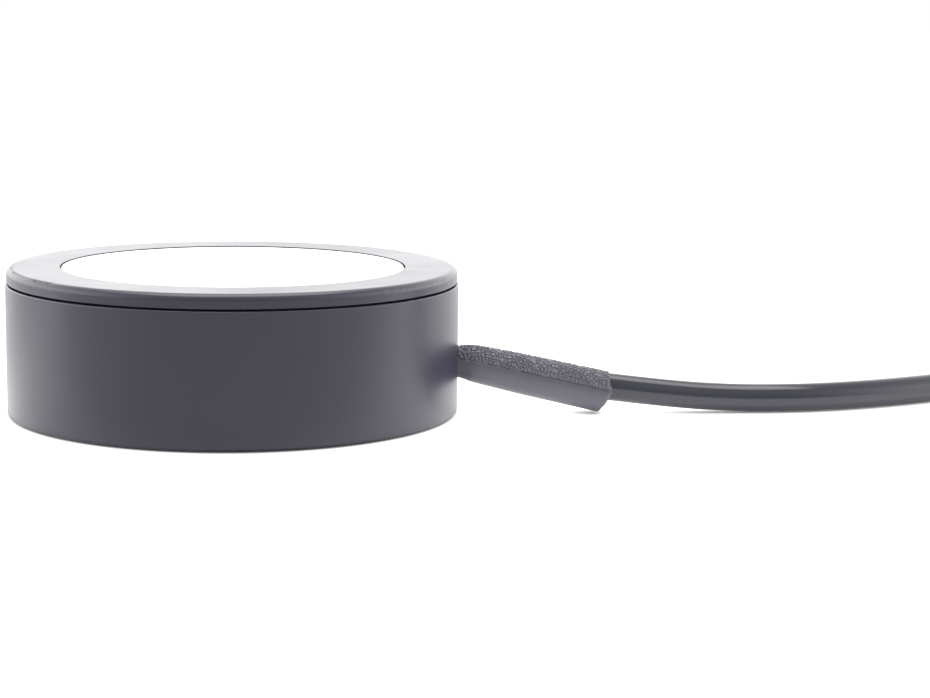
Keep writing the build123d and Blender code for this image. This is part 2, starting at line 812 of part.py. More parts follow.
# The grip is the grained shell over the boot's upper side, bonded into a step of its own depth.
with BuildPart() as relief_grip:
    add(boot_outside)
    add(boot_inside, mode=Mode.SUBTRACT)
    split(bisect_by=grip_plane, keep=Keep.TOP)
    split(bisect_by=level_plane(body_radius + grip_start_gap), keep=Keep.TOP)
export(relief_grip, "relief_grip")

with BuildPart() as strain_relief:
    add(boot_outside)
    add(relief_grip.part, mode=Mode.SUBTRACT)
    split(bisect_by=undercut_plane, keep=Keep.BOTTOM)
    with BuildSketch(Plane.YZ.offset(gland_inner_x)):
        with Locations((0, exit_height)):
            Circle(gland_radius)
    extrude(amount=gland_outer_x - gland_inner_x)
export(strain_relief, "strain_relief")

# ---- Video cord: along straight runs joined by arcs, from the boot to the plug ----
cord_route = [
    (51.8, 0.0, 4.05),
    (61.6, 0.7, 2.85),
    (71.4, 1.9, 2.1),
    (80.6, 2.6, 2.1),
    (88.8, 5.2, 2.1),
    (97.8, 9.6, 2.1),
    (107.0, 15.4, 2.1),
    (116.2, 20.8, 2.1),
    (125.4, 25.6, 3.1),
    (134.0, 29.2, 5.0),
]


def corner_radii(route):
    """Largest gentle radius of each corner: 0.45 of its shorter run over the tangent of half the turn."""
    radii = []
    for before, corner, after in zip(route, route[1:], route[2:]):
        run_in = Vector(*corner) - Vector(*before)
        run_out = Vector(*after) - Vector(*corner)
        half_turn = radians(run_in.get_angle(run_out)) / 2
        radii.append(0.45 * min(run_in.length, run_out.length) / tan(half_turn))
    return radii


cord_radii = corner_radii(cord_route)
with BuildPart() as video_cord:
    with BuildLine() as cord_path:
        FilletPolyline(*cord_route, radius=cord_radii)
    cord_start = Vector(*cord_route[1]) - Vector(*cord_route[0])
    with BuildSketch(Plane(origin=cord_route[0], z_dir=cord_start)):
        Circle(cord_radius)
    sweep(path=cord_path.wires()[0])
export(video_cord, "video_cord")
cord_length = cord_path.wires()[0].length
print("cord radii", [round(radius, 1) for radius in cord_radii])
print("cord length", round(cord_length, 2))
print("cord volume", round(video_cord.part.volume, 1), "of", round(pi * cord_radius**2 * cord_length, 1))

# ---- Video plug: overmould with a tapered collar, steel shell and contact insert ----
plug_start = Vector(*cord_route[-1]) - Vector(*cord_route[-2])
plug_direction = Vector(plug_start.X, plug_start.Y, 0).normalized()
plug_middle = plug_height / 2 + plug_stand
plug_tail = Vector(cord_route[-1][0], cord_route[-1][1], plug_middle) - plug_direction * plug_cord_hold
plug_across = Vector(-plug_direction.Y, plug_direction.X, 0)


def plug_plane(distance):
    """Cross-section plane of the plug, at a distance from its tail."""
    return Plane(origin=plug_tail + plug_direction * distance, x_dir=plug_across, z_dir=plug_direction)


with BuildPart() as plug_overmold:
    with BuildSketch(plug_plane(plug_collar)):
        RectangleRounded(plug_width, plug_height, plug_side_round)
    extrude(amount=plug_length - plug_collar)
    plug_ends = plug_overmold.faces().sort_by(Axis(tuple(plug_tail), tuple(plug_direction)))
    fillet(plug_ends[0].edges() + plug_ends[-1].edges(), plug_round)
    with BuildSketch(plug_plane(0)):
        Circle(cord_radius + plug_tail_skin)
    with BuildSketch(plug_plane(plug_collar + plug_round)):
        Circle(plug_collar_radius)
    loft()
export(plug_overmold, "plug_overmold")


def shell_outline(shrink):
    """Six-sided outline of the plug's shell, its lower corners slanted, made smaller all round."""
    half_width = shell_width / 2 - shrink
    half_height = shell_height / 2 - shrink
    slant = shell_shoulder - shrink * 0.4
    with BuildSketch() as outline:
        Polygon(
            (-half_width, half_height),
            (-half_width, -half_height + slant),
            (-half_width + slant * 0.9, -half_height),
            (half_width - slant * 0.9, -half_height),
            (half_width, -half_height + slant),
            (half_width, half_height),
            align=None,
        )
        fillet(outline.vertices(), shell_corner)
    return outline.sketch


with BuildPart() as plug_shell:
    with BuildSketch(plug_plane(plug_length)):
        add(shell_outline(0))
    extrude(amount=shell_length)
    with BuildSketch(plug_plane(plug_length)):
        add(shell_outline(shell_metal))
    extrude(amount=shell_length, mode=Mode.SUBTRACT)
export(plug_shell, "plug_shell")

with BuildPart() as plug_insert:
    with BuildSketch(plug_plane(plug_length)):
        add(shell_outline(shell_metal))
    extrude(amount=shell_length - insert_recess)
    with BuildSketch(plug_plane(plug_length + insert_floor)):
        Rectangle(shell_width - 2 * slot_side, insert_slot)
    extrude(amount=shell_length, mode=Mode.SUBTRACT)
export(plug_insert, "plug_insert")
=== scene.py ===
import math
import bpy
import numpy as np
from mathutils import Matrix, Vector


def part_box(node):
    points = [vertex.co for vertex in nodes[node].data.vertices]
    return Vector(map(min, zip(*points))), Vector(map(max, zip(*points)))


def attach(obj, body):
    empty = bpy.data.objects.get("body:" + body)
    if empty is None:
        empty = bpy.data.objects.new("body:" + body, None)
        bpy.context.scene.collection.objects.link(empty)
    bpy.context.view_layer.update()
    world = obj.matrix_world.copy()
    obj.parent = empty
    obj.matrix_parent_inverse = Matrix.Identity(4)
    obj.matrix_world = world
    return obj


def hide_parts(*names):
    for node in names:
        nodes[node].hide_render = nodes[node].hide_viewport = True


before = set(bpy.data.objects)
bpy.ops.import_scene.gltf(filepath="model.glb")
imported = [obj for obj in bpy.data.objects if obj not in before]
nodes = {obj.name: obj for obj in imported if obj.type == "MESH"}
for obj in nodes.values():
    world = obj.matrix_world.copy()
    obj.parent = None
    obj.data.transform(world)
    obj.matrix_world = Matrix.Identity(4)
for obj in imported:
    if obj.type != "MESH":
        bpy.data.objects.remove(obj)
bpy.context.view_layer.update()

# ---- Tabletop and studio -------------------------------------------------------------------------
# A sheet of frosted opal acrylic for a table, inside a tent of white cloth. The sheet's glow is
# painted light: a pool of light under the piece, dimmed by painted contact shadow beside whatever
# touches it. The cloth is brightest at the sides and behind, and quiet behind the camera, which
# gives the satin casing its silver edges and dark front.
MM = 0.001


def linear(code):
    """Linear RGBA of an sRGB hex colour: the usual power curve with its straight toe."""
    channels = [int(code[i:i + 2], 16) / 255 for i in (1, 3, 5)]
    curved = [c / 12.92 if c <= 0.04045 else ((c + 0.055) / 1.055) ** 2.4 for c in channels]
    return (*curved, 1.0)


def add_node(tree, kind, settings=None, links=None):
    """Add one node: settings are attributes or socket values, links are sockets fed by others."""
    made = tree.nodes.new(kind)
    for key, value in (settings or {}).items():
        if isinstance(key, str) and hasattr(made, key):
            setattr(made, key, value)
        else:
            made.inputs[key].default_value = value
    for key, source in (links or {}).items():
        tree.links.new(source, made.inputs[key])
    return made


def new_material(name):
    """An empty node material and its Principled shader, already joined to the output."""
    made = bpy.data.materials.new(name)
    made.use_nodes = True
    tree = made.node_tree
    tree.nodes.clear()
    shader = add_node(tree, "ShaderNodeBsdfPrincipled")
    add_node(tree, "ShaderNodeOutputMaterial", links={"Surface": shader.outputs["BSDF"]})
    return made, tree, shader


def new_object(name, points, faces, material, smooth=True):
    """A mesh object at the origin. The signed volume, a sum of corner triple products, turns all
    the faces over when it comes out negative, so that they look outwards."""
    points = np.asarray(points, dtype=float)
    corners = [points[[face[k] for face in faces]] for k in (0, 1, 2)]
    last = points[[face[-1] for face in faces]]
    volume = np.sum(corners[0] * np.cross(corners[1], corners[2]))
    volume += np.sum(corners[0] * np.cross(corners[2], last))
    if volume < 0:
        faces = [face[::-1] for face in faces]
    mesh = bpy.data.meshes.new(name)
    mesh.from_pydata(points.tolist(), [], faces)
    mesh.polygons.foreach_set("use_smooth", np.full(len(faces), smooth))
    mesh.materials.append(material)
    mesh.update()
    made = bpy.data.objects.new(name, mesh)
    bpy.context.scene.collection.objects.link(made)
    return made


# Cast opal acrylic, frosted on top. Its emission is painted light: a glow in a soft band that runs
# sideways under the piece, a little stronger on the cord's side, with a painted contact shadow
# right beside whatever touches it.
frost_scale, frost_depth = 900.0, 0.05 * MM
band_start, band_full, band_fade, band_end = -0.045, -0.016, -0.008, 0.06
glow_in_front, glow_in_band, glow_lost_behind = 0.52, 1.45, 0.7
tilt_reach, tilt_low, tilt_high = 0.04, 0.92, 1.1
painted_shadow_reach = 1.6 * MM

acrylic, tree, shader = new_material("opal_acrylic_painted_glow")
where = add_node(tree, "ShaderNodeTexCoord").outputs["Object"]
frost = add_node(tree, "ShaderNodeTexNoise", {"Scale": frost_scale, "Detail": 3.0}, {"Vector": where})
bump = add_node(
    tree, "ShaderNodeBump", {"Strength": 0.1, "Distance": frost_depth}, {"Height": frost.outputs["Fac"]}
)
place_on_table = add_node(tree, "ShaderNodeSeparateXYZ", links={"Vector": where})
# Painted glow: the table's emission rises from its front strength to its strength in the band under the
# piece, and fades again behind it.
band = add_node(
    tree, "ShaderNodeMapRange",
    {
        "interpolation_type": "SMOOTHSTEP", "From Min": band_start, "From Max": band_full,
        "To Min": glow_in_front, "To Max": glow_in_band,
    },
    {"Value": place_on_table.outputs["Y"]},
)
fade = add_node(
    tree, "ShaderNodeMapRange",
    {
        "interpolation_type": "SMOOTHSTEP", "From Min": band_fade, "From Max": band_end,
        "To Min": 0.0, "To Max": glow_lost_behind,
    },
    {"Value": place_on_table.outputs["Y"]},
)
painted_glow = add_node(
    tree, "ShaderNodeMath", {"operation": "SUBTRACT"}, {0: band.outputs["Result"], 1: fade.outputs["Result"]}
)
tilt = add_node(
    tree, "ShaderNodeMapRange",
    {"From Min": -tilt_reach, "From Max": tilt_reach, "To Min": tilt_low, "To Max": tilt_high},
    {"Value": place_on_table.outputs["X"]},
)
tilted = add_node(
    tree, "ShaderNodeMath", {"operation": "MULTIPLY"},
    {0: painted_glow.outputs["Value"], 1: tilt.outputs["Result"]},
)
# Painted contact shadow: ambient occlusion within a short reach dims the table's glow right beside whatever
# touches it.
contact = add_node(tree, "ShaderNodeAmbientOcclusion", {"samples": 8, "Distance": painted_shadow_reach})
masked = add_node(
    tree, "ShaderNodeMath", {"operation": "MULTIPLY"}, {0: tilted.outputs["Value"], 1: contact.outputs["AO"]}
)
tree.links.new(bump.outputs["Normal"], shader.inputs["Normal"])
tree.links.new(masked.outputs["Value"], shader.inputs["Emission Strength"])
shader.inputs["Emission Color"].default_value = linear("#ffffff")
shader.inputs["Base Color"].default_value = linear("#a0a0a1")
shader.inputs["Roughness"].default_value = 0.9
shader.inputs["Specular IOR Level"].default_value = 0.2

table_half = 4.0
table_corners = [
    (sx * table_half, sy * table_half, 0) for sx, sy in ((-1, -1), (1, -1), (1, 1), (-1, 1))
]
table = new_object("opal_table_painted_glow", table_corners, [(0, 1, 2, 3)], acrylic, smooth=False)

# The cloth's brightness by direction. The front wall hands over to the side walls, these to the
# rear wall, and all of them to the ceiling. Looked at directly, the cloth is plain white.
tent_front, tent_side, tent_rear, tent_top, tent_lean = 0.65, 3.2, 2.45, 0.9, -0.1
front_ends, side_starts, rear_starts, rear_full = -0.9, -0.05, 0.1, 0.95
ceiling_starts, ceiling_full = 0.25, 0.9

tent = bpy.data.worlds.new("cloth_tent")
tent.use_nodes = True
tree = tent.node_tree
direction = add_node(tree, "ShaderNodeSeparateXYZ", links={
    "Vector": add_node(tree, "ShaderNodeTexCoord").outputs["Generated"],
})
around = add_node(
    tree, "ShaderNodeMapRange",
    {
        "interpolation_type": "SMOOTHSTEP", "From Min": front_ends, "From Max": side_starts,
        "To Min": tent_front, "To Max": tent_side,
    },
    {"Value": direction.outputs["Y"]},
)
lean = add_node(
    tree, "ShaderNodeMath", {"operation": "MULTIPLY_ADD", 1: tent_lean, 2: 1.0}, {0: direction.outputs["X"]}
)
behind = add_node(
    tree, "ShaderNodeMapRange",
    {
        "interpolation_type": "SMOOTHSTEP", "From Min": rear_starts, "From Max": rear_full,
        "To Min": 1.0, "To Max": tent_rear / tent_side,
    },
    {"Value": direction.outputs["Y"]},
)
sides = add_node(
    tree, "ShaderNodeMath", {"operation": "MULTIPLY"},
    {0: around.outputs["Result"], 1: lean.outputs["Value"]},
)
walls = add_node(
    tree, "ShaderNodeMath", {"operation": "MULTIPLY"},
    {0: sides.outputs["Value"], 1: behind.outputs["Result"]},
)
ceiling = add_node(
    tree, "ShaderNodeMapRange",
    {"interpolation_type": "SMOOTHSTEP", "From Min": ceiling_starts, "From Max": ceiling_full},
    {"Value": direction.outputs["Z"]},
)
glow = add_node(
    tree, "ShaderNodeMix", {"data_type": "FLOAT", 3: tent_top},
    {0: ceiling.outputs["Result"], 2: walls.outputs["Value"]},
)
seen = add_node(
    tree, "ShaderNodeMix", {"data_type": "FLOAT", 3: 1.0},
    {0: add_node(tree, "ShaderNodeLightPath").outputs["Is Camera Ray"], 2: glow.outputs[0]},
)
cloth = tree.nodes["Background"]
cloth.inputs["Color"].default_value = linear("#ffffff")
tree.links.new(seen.outputs[0], cloth.inputs["Strength"])
bpy.context.scene.world = tent
bpy.context.scene.view_settings.view_transform = "Standard"


def soft_light(name, place, target, width, height, power):
    """A rectangular area light at a place, turned to face a target."""
    data = bpy.data.lights.new(name, "AREA")
    data.shape = "RECTANGLE"
    data.size, data.size_y, data.energy = width, height, power
    made = bpy.data.objects.new(name, data)
    made.location = place
    made.rotation_euler = (Vector(target) - Vector(place)).to_track_quat("-Z", "Y").to_euler()
    made.visible_camera = False
    bpy.context.scene.collection.objects.link(made)


soft_light("overhead_box", (0.0, 0.05, 0.6), (0.02, 0, 0), width=0.6, height=0.46, power=3.4)

# ---- Camera --------------------------------------------------------------------------------------
# Almost level with the top, five body widths away and a little to the cord's side of the front.
case_low, case_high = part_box("lower_case")
body_diameter = case_high.x - case_low.x
camera_turn = math.radians(5.6)
camera_distance = 5.0 * body_diameter
camera_height = 0.9264 * body_diameter
look_right, look_down, look_roll = 0.1034, 0.1564, 0.0121

forward = Vector((
    math.sin(look_right) * math.cos(look_down),
    math.cos(look_right) * math.cos(look_down),
    -math.sin(look_down),
))
level_right = Vector((math.cos(look_right), -math.sin(look_right), 0))
level_up = level_right.cross(forward)
right = level_right * math.cos(look_roll) + level_up * math.sin(look_roll)
up = level_up * math.cos(look_roll) - level_right * math.sin(look_roll)
camera_axes = Matrix((right, up, -forward)).transposed().to_4x4()
camera = bpy.data.objects.new("camera", bpy.data.cameras.new("camera"))
camera.data.sensor_width = 36.0
camera.data.lens = 87.14
walk_round = Matrix.Rotation(camera_turn, 4, "Z")
step_back = Matrix.Translation((0, -camera_distance, camera_height))
camera.matrix_world = walk_round @ step_back @ camera_axes
bpy.context.scene.collection.objects.link(camera)
bpy.context.scene.camera = camera

# ---- Casing --------------------------------------------------------------------------------------
# Two injection-moulded shells in dark grey ABS, spark-eroded to a fine satin, screwed together from
# below. Up close the satin is a haze of tiny bumps; at a low angle it turns silvery.
cloud_scale, haze_scale = 90.0, 45.0


def moulded(name, code, rough, grain_mm, depth_mm, ior=1.53, clouding=0.07):
    """A moulded polymer: faint clouds of about 11 mm in the colour, handling haze of about 22 mm in
    the gloss, and fine bumps left by the mould's eroded face, at a grain in millimetres."""
    made, tree, shader = new_material(name)
    where = add_node(tree, "ShaderNodeTexCoord").outputs["Object"]
    grain = add_node(
        tree, "ShaderNodeTexNoise", {"Scale": 1 / (grain_mm * MM), "Detail": 3.0, "Roughness": 0.6},
        {"Vector": where},
    )
    cloud = add_node(tree, "ShaderNodeTexNoise", {"Scale": cloud_scale, "Detail": 4.0}, {"Vector": where})
    haze = add_node(
        tree, "ShaderNodeTexNoise", {"Scale": haze_scale, "Detail": 6.0, "Distortion": 0.8},
        {"Vector": where},
    )
    tint = add_node(tree, "ShaderNodeValToRGB", links={"Fac": cloud.outputs["Fac"]})
    base = linear(code)
    for stop, place, share in zip(tint.color_ramp.elements, (0.3, 0.7), (1 - clouding, 1 + clouding)):
        stop.position = place
        stop.color = (*[min(1.0, c * share) for c in base[:3]], 1.0)
    gloss = add_node(
        tree, "ShaderNodeMapRange",
        {"From Min": 0.3, "From Max": 0.7, "To Min": rough - 0.03, "To Max": rough + 0.04},
        {"Value": haze.outputs["Fac"]},
    )
    bump = add_node(
        tree, "ShaderNodeBump", {"Strength": 0.5, "Distance": depth_mm * MM},
        {"Height": grain.outputs["Fac"]},
    )
    tree.links.new(tint.outputs["Color"], shader.inputs["Base Color"])
    tree.links.new(gloss.outputs["Result"], shader.inputs["Roughness"])
    tree.links.new(bump.outputs["Normal"], shader.inputs["Normal"])
    shader.inputs["IOR"].default_value = ior
    return made


def dress(material, *names):
    """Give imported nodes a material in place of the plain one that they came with."""
    for name in names:
        nodes[name].data.materials.clear()
        nodes[name].data.materials.append(material)


satin_abs = moulded("spark_eroded_satin_abs", "#222130", 0.3, 0.2, 0.008)
dress(satin_abs, "lower_case", "top_cover", "reset_button")

# ---- Press disc ----------------------------------------------------------------------------------
# The white face of the button: a polycarbonate disc moulded against a polished tool, so it mirrors
# the room crisply under a clear hard coat that carries only faint haze from fingers.
finger_scale, ripple_scale, ripple_depth = 60.0, 180.0, 0.01 * MM

disc_white, tree, shader = new_material("polished_white_polycarbonate")
where = add_node(tree, "ShaderNodeTexCoord").outputs["Object"]
haze = add_node(
    tree, "ShaderNodeTexNoise", {"Scale": finger_scale, "Detail": 6.0, "Distortion": 1.2}, {"Vector": where}
)
gloss = add_node(
    tree, "ShaderNodeMapRange", {"From Min": 0.35, "From Max": 0.75, "To Min": 0.1, "To Max": 0.2},
    {"Value": haze.outputs["Fac"]},
)
ripple = add_node(tree, "ShaderNodeTexNoise", {"Scale": ripple_scale, "Detail": 2.0}, {"Vector": where})
bump = add_node(
    tree, "ShaderNodeBump", {"Strength": 0.15, "Distance": ripple_depth}, {"Height": ripple.outputs["Fac"]}
)
tree.links.new(gloss.outputs["Result"], shader.inputs["Roughness"])
tree.links.new(bump.outputs["Normal"], shader.inputs["Normal"])
shader.inputs["Base Color"].default_value = linear("#eeeef2")
shader.inputs["IOR"].default_value = 1.58
shader.inputs["Coat Weight"].default_value = 0.6
shader.inputs["Coat Roughness"].default_value = 0.05
dress(disc_white, "button_disc")

# ---- Strain relief -------------------------------------------------------------------------------
# A soft dark grey TPE boot moulded onto the cord. It leaves the wall level, droops to the tabletop
# and ends in a slanted face; a pebble-grained strip on its upper side gives fingers a grip. All its
# sizes are in millimetres, and places along it start where it bends.
relief_bend_x, exit_height = 33.1, 7.24
relief_slope = math.radians(11.9)
relief_length, bend_half = 20.55, 1.6
gland_start, gland_end, gland_radius, gland_round = 28.6, 30.1, 3.1, 0.2
cord_hole, neck_radius, wall_gap = 1.5, 2.25, 0.05
radius_stops = [-6.0, -1.2, 1.4, 8.6, relief_length]
radius_values = [2.2, 2.2, 2.66, 2.88, 2.975]
end_top, end_middle, end_foot = 3.0, 0.55, -3.0
end_swell, end_cut = 0.5, 0.4
step_lift, step_depth, step_ramp = 0.85, 0.18, 0.12
rim = 0.22
cord_radius, lip_height, lip_radius, lip_half = 2.0, 0.3, 2.05, 0.25

table_start, table_end, table_count, smoothing = -6.0, 24.0, 1201, 24
along_table = np.linspace(table_start, table_end, table_count)
turn_share = np.clip((along_table + bend_half) / (2 * bend_half), 0, 1)
lean_table = relief_slope * turn_share ** 2 * (3 - 2 * turn_share)
step = along_table[1] - along_table[0]
x_table = np.cumsum(np.cos(lean_table)) * step
z_table = -np.cumsum(np.sin(lean_table)) * step
straight_part = 20
straight_x = relief_bend_x + straight_part * math.cos(relief_slope)
x_table += straight_x - np.interp(straight_part, along_table, x_table)
z_table += exit_height - z_table[0]
radius_table = np.interp(along_table, radius_stops, radius_values)
window = 2 * smoothing + 1
padded = np.pad(radius_table, smoothing, mode="edge")
radius_table = np.convolve(padded, np.full(window, 1 / window), mode="valid")


def boot_point(along, outward, turn):
    """Point of the boot: go along the drooping centre line, then outward from it at an angle turned
    from its upper side. Line and lean come from a table, a running sum of the line's lean."""
    lean = np.interp(along, along_table, lean_table)
    lift, side = outward * np.cos(turn), outward * np.sin(turn)
    x = np.interp(along, along_table, x_table) + lift * np.sin(lean)
    z = np.interp(along, along_table, z_table) + lift * np.cos(lean)
    return np.stack([x, side, z], axis=-1) * MM


def boot_end(lift):
    """How far along the end face lies at a height off the axis: it swells forward from its top to
    the middle and slants back from there to its foot."""
    return relief_length + np.interp(lift, [end_foot, end_middle, end_top], [-end_cut, end_swell, 0.0])


def grid_faces(rows, columns, closed, first=0):
    """Quads of a grid of points, with the last column joined to the first where it is closed."""
    index = np.arange(rows * columns).reshape(rows, columns) + first
    beside = np.roll(index, -1, axis=1)
    quads = np.stack([index[:-1], index[1:], beside[1:], beside[:-1]], axis=-1)
    quads = quads if closed else quads[:, :-1]
    return quads.reshape(-1, 4).tolist()


def capped_tube(name, rings, material):
    """A tube through rings of points, each end closed by a fan to the middle of its last ring."""
    rows, columns = rings.shape[:2]
    faces = grid_faces(rows, columns, closed=True)
    start, finish = rows * columns, rows * columns + 1
    final = (rows - 1) * columns
    faces += [(start, k, (k + 1) % columns) for k in range(columns)]
    faces += [(finish, final + (k + 1) % columns, final + k) for k in range(columns)]
    points = np.concatenate([rings.reshape(-1, 3), rings[:1].mean(axis=1), rings[-1:].mean(axis=1)])
    return new_object(name, points, faces, material)


# The boot's rings run from a flange inside the wall, along the side, over the rim and inwards
# across the end face to a soft lip round the cord, then a little way down the cord's hole.
turn = np.linspace(0, 2 * math.pi, 120, endpoint=False)[None, :]
flange_along = np.array([
    gland_start, gland_start, gland_start + gland_round, gland_end - gland_round, gland_end, gland_end,
])[:, None] - relief_bend_x
flange_out = np.array([
    cord_hole, gland_radius - gland_round, gland_radius, gland_radius, gland_radius - gland_round,
    neck_radius,
])[:, None]
side_share = np.linspace(0, 1, 170)[:, None]
side_start = gland_end + wall_gap - relief_bend_x
outer_radius = np.interp(relief_length - rim, along_table, radius_table)
side_end = boot_end(outer_radius * np.cos(turn)) - rim
side_along = side_start + side_share * (side_end - side_start)
side_out = np.interp(side_along, along_table, radius_table)
over_step = np.clip((side_out * np.cos(turn) - step_lift) / step_ramp + 1.6, 0, 1)
side_out = side_out - step_depth * over_step
round_turn = np.linspace(0.2, math.pi / 2, 6)[:, None]
rim_out = side_out[-1:] - rim * (1 - np.cos(round_turn))
rim_along = boot_end(rim_out * np.cos(turn)) - rim * (1 - np.sin(round_turn))
face_out = rim_out[-1:] + (cord_radius - rim_out[-1:]) * np.linspace(0.04, 1, 18)[:, None]
lip = lip_height * np.sqrt(np.clip(1 - ((face_out - lip_radius) / lip_half) ** 2, 0, 1))
face_along = boot_end(face_out * np.cos(turn)) + lip
throat_along = np.array([relief_length - 1.2, relief_length - 1.3])[:, None] + 0 * turn
throat_out = np.array([cord_radius - 0.05, cord_radius / 2])[:, None] + 0 * turn
boot_along = [flange_along + 0 * turn, side_along, rim_along, face_along, throat_along]
boot_out = [flange_out + 0 * turn, side_out, rim_out, face_out, throat_out]
boot_rings = boot_point(np.concatenate(boot_along), np.concatenate(boot_out), turn)

# Thermoplastic elastomer, moulded satin: softer in its gloss than the casing, and a shade paler.
boot_tpe = moulded("moulded_satin_tpe", "#4b4a53", 0.42, 0.16, 0.012, ior=1.5)
boot_body = capped_tube("boot_body", boot_rings, boot_tpe)
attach(boot_body, "housing")
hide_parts("strain_relief")

# The strip's pebbles are cells scattered on a jittered grid: each stands highest at its middle and
# falls away at the line half-way to the next one.
pebble_pitch, pebble_height = 0.52, 0.25
strip_rows, strip_columns = 400, 112
strip_low, strip_start, strip_lift, strip_setback = 0.85, -1.35, -0.14, 0.03
strip_edge, strip_root = 0.18, 0.15
cells_along, cells_across = 64, 32
across_share = np.linspace(-1, 1, strip_columns)
end_turn = np.arccos(strip_low / outer_radius) * across_share
strip_end = boot_end(outer_radius * np.cos(end_turn))[None, :] - strip_setback
strip_along = strip_start + np.linspace(0, 1, strip_rows)[:, None] * (strip_end - strip_start)
strip_radius = np.interp(strip_along, along_table, radius_table)
half_spread = np.arccos(strip_low / strip_radius)
strip_turn = half_spread * across_share[None, :]
scatter = np.random.default_rng(11).uniform(-0.5, 0.5, (cells_along, cells_across, 2))


def pebbles(u, v):
    """Height from 0 to 1: distance to the second-nearest cell centre less that to the nearest."""
    column, row = np.floor(u).astype(int), np.floor(v).astype(int)
    reach = []
    for du in (-1, 0, 1):
        for dv in (-1, 0, 1):
            offset = scatter[(column + du) % cells_along, (row + dv) % cells_across]
            aside = column + du + 0.5 + offset[..., 0] - u
            ahead = row + dv + 0.5 + offset[..., 1] - v
            reach.append(np.hypot(aside, ahead))
    nearest = np.sort(np.stack(reach), axis=0)
    rise = np.clip((nearest[1] - nearest[0]) / 0.5, 0, 1)
    return rise * rise * (3 - 2 * rise)


height = pebbles(strip_along / pebble_pitch, strip_radius * strip_turn / pebble_pitch)
edge = np.minimum((half_spread - np.abs(strip_turn)) * strip_radius, strip_end - strip_along)
edge = np.clip(np.minimum(edge, strip_along - strip_start) / strip_edge, 0, 1)
strip_base = strip_radius - step_depth
strip_out = strip_base + (step_depth + strip_lift + pebble_height * height) * np.sqrt(edge)
outer = boot_point(strip_along, strip_out, strip_turn)
inner = boot_point(strip_along, strip_base - strip_root, strip_turn)
strip_count = strip_rows * strip_columns
top_index = np.arange(strip_count).reshape(strip_rows, strip_columns)
low_index = top_index + strip_count
strip_faces = grid_faces(strip_rows, strip_columns, closed=False)
strip_faces += [
    face[::-1] for face in grid_faces(strip_rows, strip_columns, closed=False, first=strip_count)
]
for top, low in (
    (top_index[0], low_index[0]), (top_index[-1][::-1], low_index[-1][::-1]),
    (top_index[::-1, 0], low_index[::-1, 0]), (top_index[:, -1], low_index[:, -1]),
):
    strip_faces += np.stack([top[:-1], top[1:], low[1:], low[:-1]], axis=-1).tolist()

# The same elastomer against a grained tool, its colour painted paler than the boot's as painted light on the
# upper side: its crests catch the light and its pits stay dark.
grip_tpe_painted_lighter = moulded("pebble_grained_tpe", "#5a5963", 0.27, 0.1, 0.012, ior=1.5, clouding=0.12)
strip_points = np.concatenate([outer.reshape(-1, 3), inner.reshape(-1, 3)])
boot_grip = new_object("boot_grip", strip_points, strip_faces, grip_tpe_painted_lighter)
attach(boot_grip, "housing")
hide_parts("relief_grip")

# ---- Video plug ----------------------------------------------------------------------------------
# A matt PVC overmould on the cord's end: a ringed collar that lets the cord bend, then a block with
# ribbed sides to pull on. Its steel shell is drawn, folded and nickel plated round a black insert.
plug_width, plug_height, plug_length, plug_stand = 19.6, 9.8, 29.0, 0.1
collar_length, cord_hold = 7.0, 1.5
collar_thin, collar_flare, ring_pitch, ring_depth = 2.8, 0.8, 1.4, 0.35
block_corner, block_round = 2.4, 0.6
rib_first, rib_last, rib_pitch, rib_depth = 10.0, 20.0, 1.5, 0.35
waist_middle, waist_half, waist_depth = 15.0, 4.5, 0.5
cord_end, cord_before = np.array([134.0, 29.2, 5.0]), np.array([125.4, 25.6, 3.1])
heading = (cord_end - cord_before) * (1, 1, 0)
heading /= np.linalg.norm(heading)
across = np.array([-heading[1], heading[0], 0])
upward = np.array([0, 0, 1])
tail = np.array([cord_end[0], cord_end[1], plug_height / 2 + plug_stand]) - heading * cord_hold


def plug_rings(stations):
    """Rings along the plug. Each station is (distance, half width, half height, corner radius): a
    ring walks four quarter circles, each moved out to its corner of the rounded rectangle."""
    distance, wide, tall, corner = [column[:, None] for column in np.array(stations).T]
    quarter = np.linspace(0, math.pi / 2, 9)
    swing = np.concatenate([quarter + k * math.pi / 2 for k in range(4)])
    side = np.repeat([1, -1, -1, 1], 9)
    rise = np.repeat([1, 1, -1, -1], 9)
    out = side * (wide - corner) + corner * np.cos(swing)
    high = rise * (tall - corner) + corner * np.sin(swing)
    ring = tail + distance[..., None] * heading + out[..., None] * across + high[..., None] * upward
    return ring * MM


collar_along = np.linspace(0, collar_length, 64)
collar_out = collar_thin + collar_flare * collar_along / collar_length
ring_wave = np.cos(collar_along * 2 * math.pi / ring_pitch)
collar_out -= ring_depth * np.clip(ring_wave * 1.6 - 0.5, 0, 1)
stations = [(0.15, 1.6, 1.6, 1.6), (0.0, 2.1, 2.1, 2.1)]
stations += [(t, r, r, r) for t, r in zip(collar_along, collar_out)]
half_wide, half_tall = plug_width / 2, plug_height / 2
stations.append((collar_length, half_wide - 0.7, half_tall - 0.7, 1.8))
for bend in np.linspace(0, math.pi / 2, 7):
    cut = block_round * (1 - math.sin(bend))
    t = collar_length + block_round * (1 - math.cos(bend))
    stations.append((t, half_wide - cut, half_tall - cut, block_corner - cut))
rib_along = np.linspace(8.6, 27.6, 150)
rib_zone = np.clip(np.minimum(rib_along - rib_first, rib_last - rib_along), 0, 1)
rib_wave = np.cos((rib_along - rib_first) * 2 * math.pi / rib_pitch)
rib_cut = rib_depth * rib_zone * np.clip(rib_wave * 1.5 - 0.3, 0, 1)
waist = waist_depth * np.exp(-((rib_along - waist_middle) / waist_half) ** 2)
